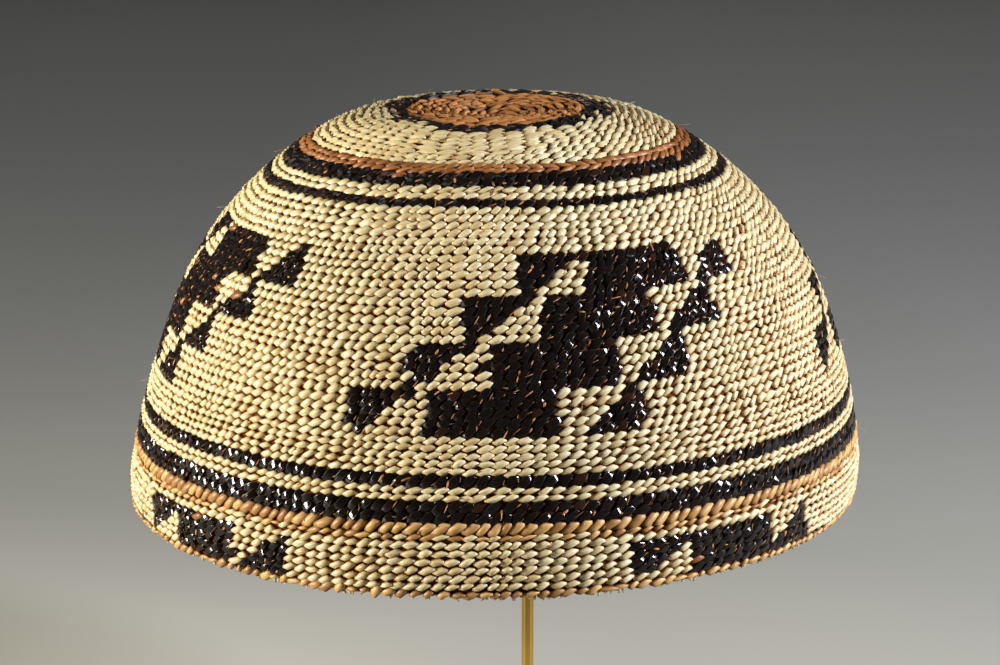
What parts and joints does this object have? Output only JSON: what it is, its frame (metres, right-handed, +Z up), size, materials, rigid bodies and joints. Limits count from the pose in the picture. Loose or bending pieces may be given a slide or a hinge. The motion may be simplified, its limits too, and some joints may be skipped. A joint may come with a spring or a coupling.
{
  "type": "basket cap on a plain brass stand",
  "caption": "Twined bowl-shaped basket cap with a dished crown and an open rim, resting on a round-based rod stand.",
  "frame": {"origin": "middle of the stand base's flat underside, below the post", "axes": "+Z up along the post, -Y towards the front of the cap, +X to its right as seen from the front"},
  "size_m": [0.1782, 0.1781, 0.1732],
  "materials": {
    "woven_straw": "hand-twined bear grass, dark fern stem and brown root",
    "brass_plate": "turned, satin",
    "brass_rod": "drawn, satin",
    "brass_head": "turned, satin"
  },
  "bodies": {
    "root": {"woven_cap": "woven_straw", "stand_base": "brass_plate", "stand_post": "brass_rod", "stand_head": "brass_head"}
  },
  "joints": []
}
